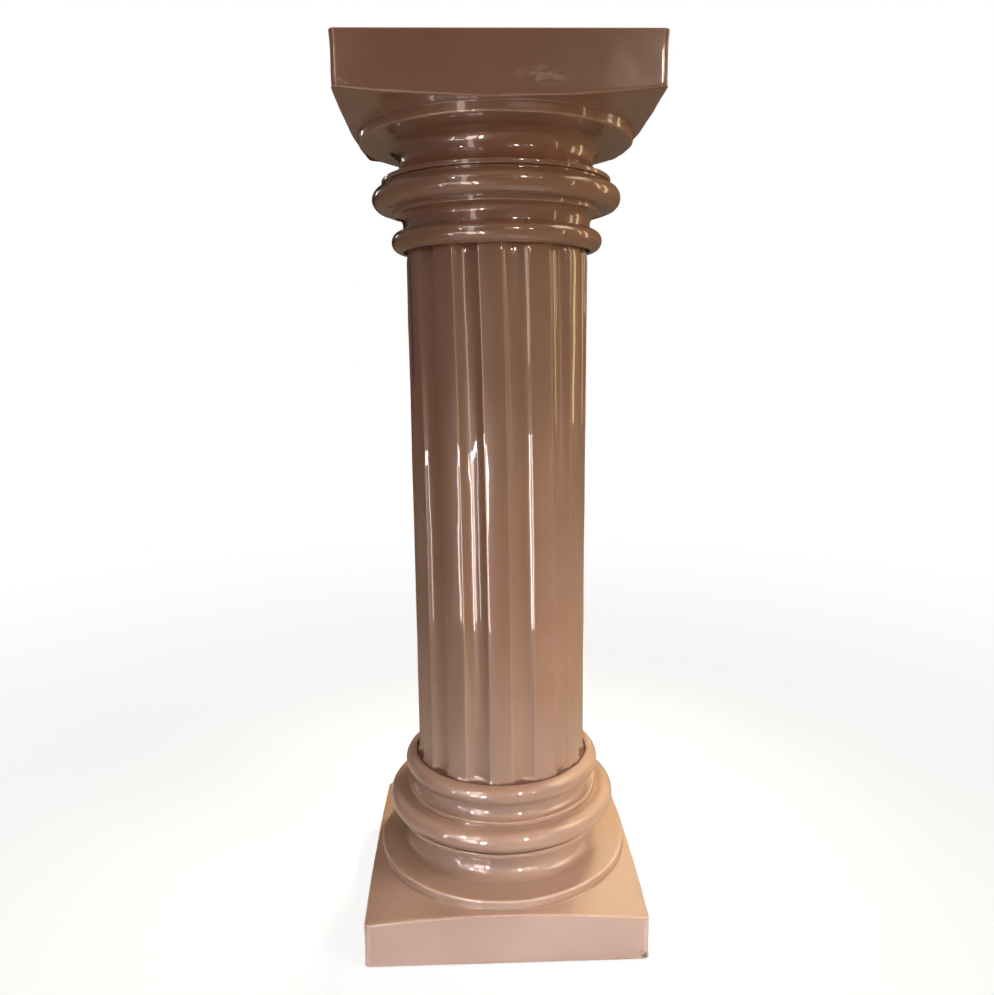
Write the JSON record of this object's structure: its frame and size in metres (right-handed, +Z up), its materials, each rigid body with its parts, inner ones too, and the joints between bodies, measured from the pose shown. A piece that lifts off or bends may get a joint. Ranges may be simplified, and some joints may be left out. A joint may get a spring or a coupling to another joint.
{
  "type": "doric column",
  "caption": "Round fluted column with a moulded base and capital between square slabs, standing on its own foot to carry a pot, bust or ornament.",
  "frame": {"origin": "centre of the base slab's underside", "axes": "+Z up along the column's axis; X and Y square to the sides of the slabs, with a flat of the shaft facing -Y"},
  "size_m": [0.298, 0.298, 0.907],
  "materials": {
    "glaze": "glossy taupe-brown glaze, thinner and paler on the edges"
  },
  "bodies": {
    "root": {"base": "glaze", "shaft": "glaze", "capital": "glaze"}
  },
  "joints": []
}
